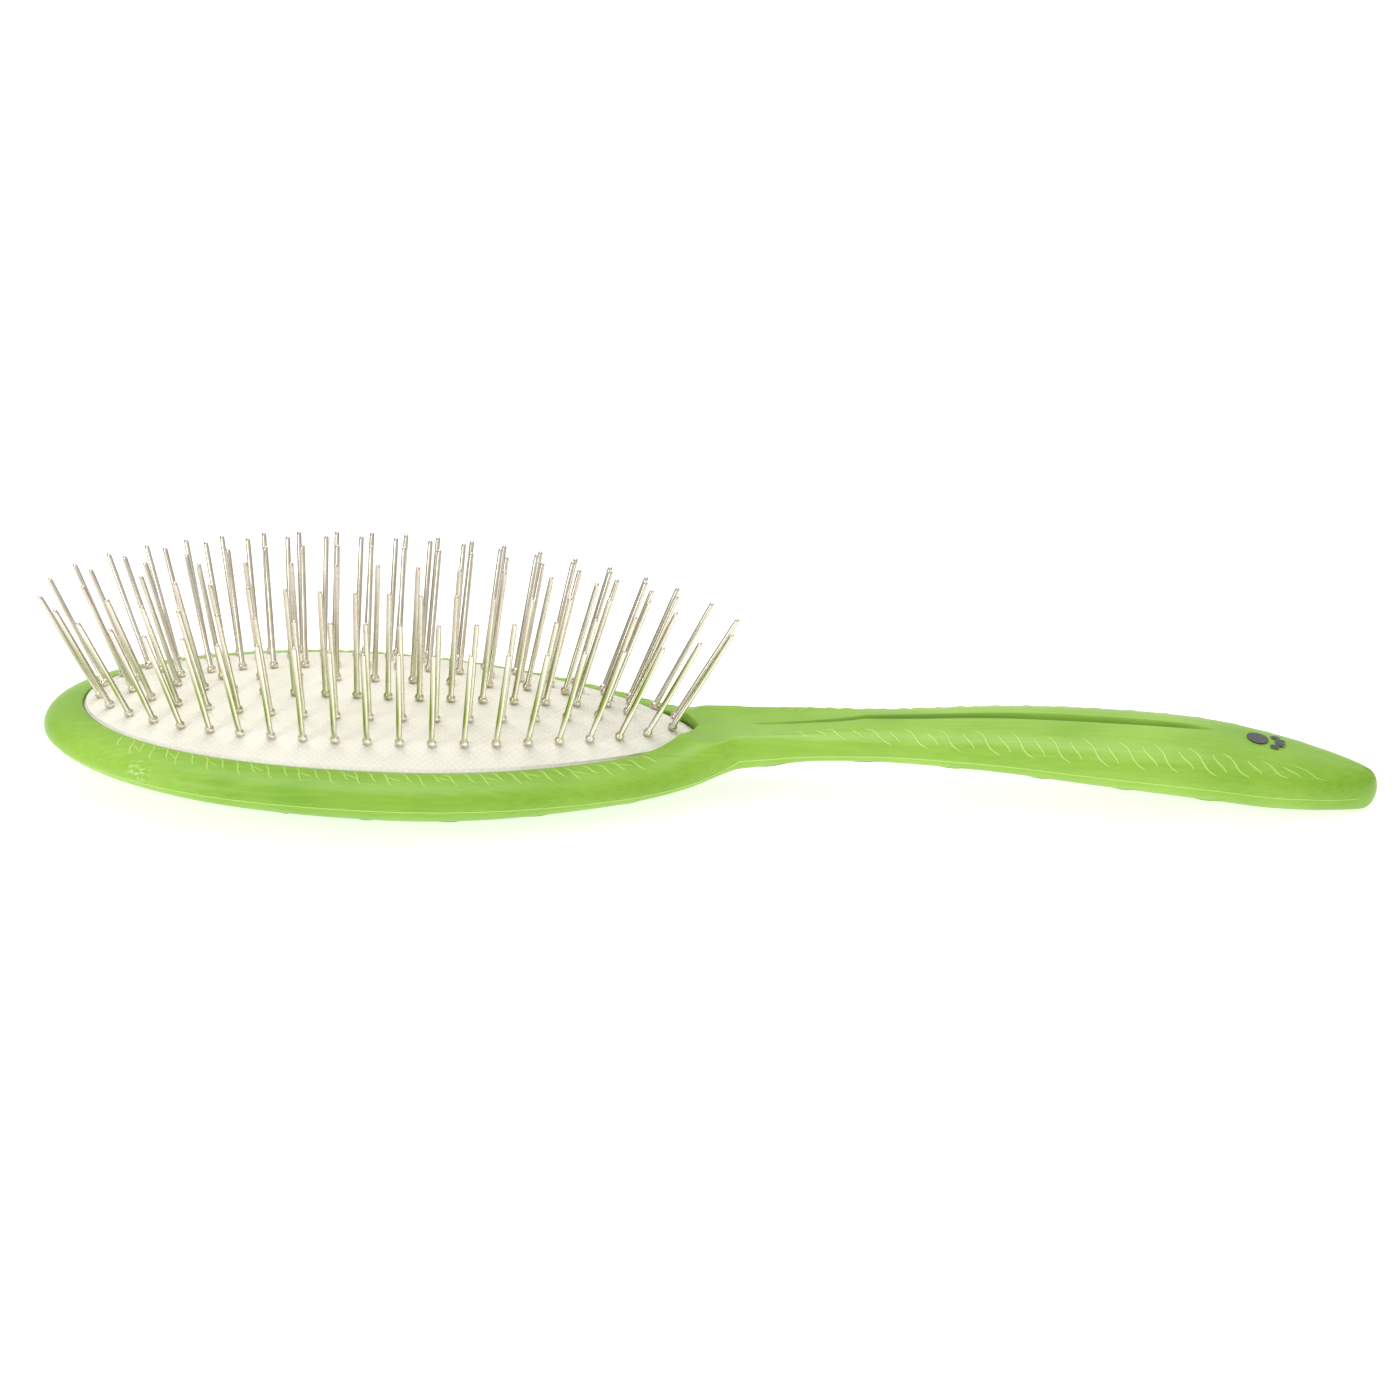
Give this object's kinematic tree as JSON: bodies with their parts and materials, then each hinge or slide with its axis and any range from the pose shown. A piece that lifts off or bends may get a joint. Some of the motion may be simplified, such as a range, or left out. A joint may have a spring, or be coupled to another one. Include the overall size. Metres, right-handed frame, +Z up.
{
  "type": "cushion pin brush",
  "caption": "Oval pet grooming pin brush: moulded green handle with a leaf-rib channel, sprung domed rubber cushion and straight steel pins that tilt.",
  "frame": {"origin": "centre of the bounding box in plan, on the table that the brush lies on", "axes": "+X from the free end of the head to the end of the handle, +Y across the head, +Z up, the way the pins point"},
  "size_m": [0.2312, 0.069, 0.0395],
  "materials": {
    "green_moulded_plastic": "satin moulded plant-starch plastic, faint lengthwise flow streaks",
    "cream_rubber": "matt natural rubber with a fine cloth impression",
    "nickel_steel": "bright nickel-plated steel wire"
  },
  "bodies": {
    "handle": {"handle_body": "green_moulded_plastic"},
    "cushion": {"rubber_cushion": "cream_rubber"},
    "outer_near_1_bank": {"pins_outer_near_1": "nickel_steel"},
    "outer_near_2_bank": {"pins_outer_near_2": "nickel_steel"},
    "outer_near_3_bank": {"pins_outer_near_3": "nickel_steel"},
    "outer_near_4_bank": {"pins_outer_near_4": "nickel_steel"},
    "outer_near_5_bank": {"pins_outer_near_5": "nickel_steel"},
    "outer_near_6_bank": {"pins_outer_near_6": "nickel_steel"},
    "outer_far_1_bank": {"pins_outer_far_1": "nickel_steel"},
    "outer_far_2_bank": {"pins_outer_far_2": "nickel_steel"},
    "outer_far_3_bank": {"pins_outer_far_3": "nickel_steel"},
    "outer_far_4_bank": {"pins_outer_far_4": "nickel_steel"},
    "outer_far_5_bank": {"pins_outer_far_5": "nickel_steel"},
    "outer_far_6_bank": {"pins_outer_far_6": "nickel_steel"},
    "middle_near_1_bank": {"pins_middle_near_1": "nickel_steel"},
    "middle_near_2_bank": {"pins_middle_near_2": "nickel_steel"},
    "middle_near_3_bank": {"pins_middle_near_3": "nickel_steel"},
    "middle_near_4_bank": {"pins_middle_near_4": "nickel_steel"},
    "middle_far_1_bank": {"pins_middle_far_1": "nickel_steel"},
    "middle_far_2_bank": {"pins_middle_far_2": "nickel_steel"},
    "middle_far_3_bank": {"pins_middle_far_3": "nickel_steel"},
    "middle_far_4_bank": {"pins_middle_far_4": "nickel_steel"},
    "inner_near_1_bank": {"pins_inner_near_1": "nickel_steel"},
    "inner_near_2_bank": {"pins_inner_near_2": "nickel_steel"},
    "inner_near_3_bank": {"pins_inner_near_3": "nickel_steel"},
    "inner_far_1_bank": {"pins_inner_far_1": "nickel_steel"},
    "inner_far_2_bank": {"pins_inner_far_2": "nickel_steel"},
    "inner_far_3_bank": {"pins_inner_far_3": "nickel_steel"},
    "centre_1_bank": {"pins_centre_1": "nickel_steel"},
    "centre_2_bank": {"pins_centre_2": "nickel_steel"}
  },
  "joints": [
    {"name": "cushion_press", "type": "slide", "parent": "handle", "child": "cushion", "axis": [0.0451, 0, 0.999], "range_m": [-0.0025, 0], "stiffness_N_per_m": 5000, "deforming": ["rubber_cushion"]},
    {"name": "outer_near_1_tilt", "type": "hinge", "parent": "cushion", "child": "outer_near_1_bank", "pos_m": [-0.10224, -0.00737, 0.01553], "axis": [0.595, -0.8038, -0.0001], "range_deg": [-8, 8], "stiffness_Nm_per_rad": 0.09},
    {"name": "outer_near_2_tilt", "type": "hinge", "parent": "cushion", "child": "outer_near_2_bank", "pos_m": [-0.08638, -0.01753, 0.01533], "axis": [0.9455, -0.3253, -0.017], "range_deg": [-8, 8], "stiffness_Nm_per_rad": 0.12},
    {"name": "outer_near_3_tilt", "type": "hinge", "parent": "cushion", "child": "outer_near_3_bank", "pos_m": [-0.06473, -0.02138, 0.01482], "axis": [0.9987, -0.041, -0.0309], "range_deg": [-8, 8], "stiffness_Nm_per_rad": 0.12},
    {"name": "outer_near_4_tilt", "type": "hinge", "parent": "cushion", "child": "outer_near_4_bank", "pos_m": [-0.04279, -0.01982, 0.01396], "axis": [0.9814, 0.1859, -0.0478], "range_deg": [-8, 8], "stiffness_Nm_per_rad": 0.12},
    {"name": "outer_near_5_tilt", "type": "hinge", "parent": "cushion", "child": "outer_near_5_bank", "pos_m": [-0.02426, -0.01424, 0.01289], "axis": [0.9188, 0.3898, -0.0618], "range_deg": [-8, 8], "stiffness_Nm_per_rad": 0.09},
    {"name": "outer_near_6_tilt", "type": "hinge", "parent": "cushion", "child": "outer_near_6_bank", "pos_m": [-0.01018, -0.00604, 0.0118], "axis": [0.7631, 0.6433, -0.0614], "range_deg": [-8, 8], "stiffness_Nm_per_rad": 0.09},
    {"name": "outer_far_1_tilt", "type": "hinge", "parent": "cushion", "child": "outer_far_1_bank", "pos_m": [-0.10224, 0.00737, 0.01553], "axis": [0.595, 0.8038, -0.0001], "range_deg": [-8, 8], "stiffness_Nm_per_rad": 0.09},
    {"name": "outer_far_2_tilt", "type": "hinge", "parent": "cushion", "child": "outer_far_2_bank", "pos_m": [-0.08638, 0.01753, 0.01533], "axis": [0.9455, 0.3253, -0.017], "range_deg": [-8, 8], "stiffness_Nm_per_rad": 0.12},
    {"name": "outer_far_3_tilt", "type": "hinge", "parent": "cushion", "child": "outer_far_3_bank", "pos_m": [-0.06473, 0.02138, 0.01482], "axis": [0.9987, 0.041, -0.0309], "range_deg": [-8, 8], "stiffness_Nm_per_rad": 0.12},
    {"name": "outer_far_4_tilt", "type": "hinge", "parent": "cushion", "child": "outer_far_4_bank", "pos_m": [-0.04279, 0.01982, 0.01396], "axis": [0.9814, -0.1859, -0.0478], "range_deg": [-8, 8], "stiffness_Nm_per_rad": 0.12},
    {"name": "outer_far_5_tilt", "type": "hinge", "parent": "cushion", "child": "outer_far_5_bank", "pos_m": [-0.02426, 0.01424, 0.01289], "axis": [0.9188, -0.3898, -0.0618], "range_deg": [-8, 8], "stiffness_Nm_per_rad": 0.09},
    {"name": "outer_far_6_tilt", "type": "hinge", "parent": "cushion", "child": "outer_far_6_bank", "pos_m": [-0.01018, 0.00604, 0.0118], "axis": [0.7631, -0.6433, -0.0614], "range_deg": [-8, 8], "stiffness_Nm_per_rad": 0.09},
    {"name": "middle_near_1_tilt", "type": "hinge", "parent": "cushion", "child": "middle_near_1_bank", "pos_m": [-0.09268, -0.00771, 0.01668], "axis": [0.8555, -0.5177, 0.0055], "range_deg": [-8, 8], "stiffness_Nm_per_rad": 0.12},
    {"name": "middle_near_2_tilt", "type": "hinge", "parent": "cushion", "child": "middle_near_2_bank", "pos_m": [-0.06825, -0.01396, 0.01657], "axis": [0.9975, -0.0693, -0.0155], "range_deg": [-8, 8], "stiffness_Nm_per_rad": 0.15},
    {"name": "middle_near_3_tilt", "type": "hinge", "parent": "cushion", "child": "middle_near_3_bank", "pos_m": [-0.04285, -0.01282, 0.01587], "axis": [0.9847, 0.169, -0.0425], "range_deg": [-8, 8], "stiffness_Nm_per_rad": 0.12},
    {"name": "middle_near_4_tilt", "type": "hinge", "parent": "cushion", "child": "middle_near_4_bank", "pos_m": [-0.02126, -0.00622, 0.01459], "axis": [0.8978, 0.4355, -0.066], "range_deg": [-8, 8], "stiffness_Nm_per_rad": 0.12},
    {"name": "middle_far_1_tilt", "type": "hinge", "parent": "cushion", "child": "middle_far_1_bank", "pos_m": [-0.09268, 0.00771, 0.01668], "axis": [0.8555, 0.5177, 0.0055], "range_deg": [-8, 8], "stiffness_Nm_per_rad": 0.12},
    {"name": "middle_far_2_tilt", "type": "hinge", "parent": "cushion", "child": "middle_far_2_bank", "pos_m": [-0.06825, 0.01396, 0.01657], "axis": [0.9975, 0.0693, -0.0155], "range_deg": [-8, 8], "stiffness_Nm_per_rad": 0.15},
    {"name": "middle_far_3_tilt", "type": "hinge", "parent": "cushion", "child": "middle_far_3_bank", "pos_m": [-0.04285, 0.01282, 0.01587], "axis": [0.9847, -0.169, -0.0425], "range_deg": [-8, 8], "stiffness_Nm_per_rad": 0.12},
    {"name": "middle_far_4_tilt", "type": "hinge", "parent": "cushion", "child": "middle_far_4_bank", "pos_m": [-0.02126, 0.00622, 0.01459], "axis": [0.8978, -0.4355, -0.066], "range_deg": [-8, 8], "stiffness_Nm_per_rad": 0.12},
    {"name": "inner_near_1_tilt", "type": "hinge", "parent": "cushion", "child": "inner_near_1_bank", "pos_m": [-0.08132, -0.00501, 0.01764], "axis": [0.9765, -0.2154, 0.0051], "range_deg": [-8, 8], "stiffness_Nm_per_rad": 0.15},
    {"name": "inner_near_2_tilt", "type": "hinge", "parent": "cushion", "child": "inner_near_2_bank", "pos_m": [-0.05449, -0.00704, 0.01736], "axis": [0.9995, 0.0219, -0.0246], "range_deg": [-8, 8], "stiffness_Nm_per_rad": 0.15},
    {"name": "inner_near_3_tilt", "type": "hinge", "parent": "cushion", "child": "inner_near_3_bank", "pos_m": [-0.02788, -0.00407, 0.01603], "axis": [0.9734, 0.2142, -0.0812], "range_deg": [-8, 8], "stiffness_Nm_per_rad": 0.15},
    {"name": "inner_far_1_tilt", "type": "hinge", "parent": "cushion", "child": "inner_far_1_bank", "pos_m": [-0.08132, 0.00501, 0.01764], "axis": [0.9765, 0.2154, 0.0051], "range_deg": [-8, 8], "stiffness_Nm_per_rad": 0.15},
    {"name": "inner_far_2_tilt", "type": "hinge", "parent": "cushion", "child": "inner_far_2_bank", "pos_m": [-0.05449, 0.00704, 0.01736], "axis": [0.9995, -0.0219, -0.0246], "range_deg": [-8, 8], "stiffness_Nm_per_rad": 0.15},
    {"name": "inner_far_3_tilt", "type": "hinge", "parent": "cushion", "child": "inner_far_3_bank", "pos_m": [-0.02788, 0.00407, 0.01603], "axis": [0.9734, -0.2142, -0.0812], "range_deg": [-8, 8], "stiffness_Nm_per_rad": 0.15},
    {"name": "centre_1_tilt", "type": "hinge", "parent": "cushion", "child": "centre_1_bank", "pos_m": [-0.07104, 0, 0.01797], "axis": [1, 0, -0.0076], "range_deg": [-8, 8], "stiffness_Nm_per_rad": 0.15},
    {"name": "centre_2_tilt", "type": "hinge", "parent": "cushion", "child": "centre_2_bank", "pos_m": [-0.03804, 0, 0.01726], "axis": [0.9989, 0, -0.047], "range_deg": [-8, 8], "stiffness_Nm_per_rad": 0.15}
  ]
}
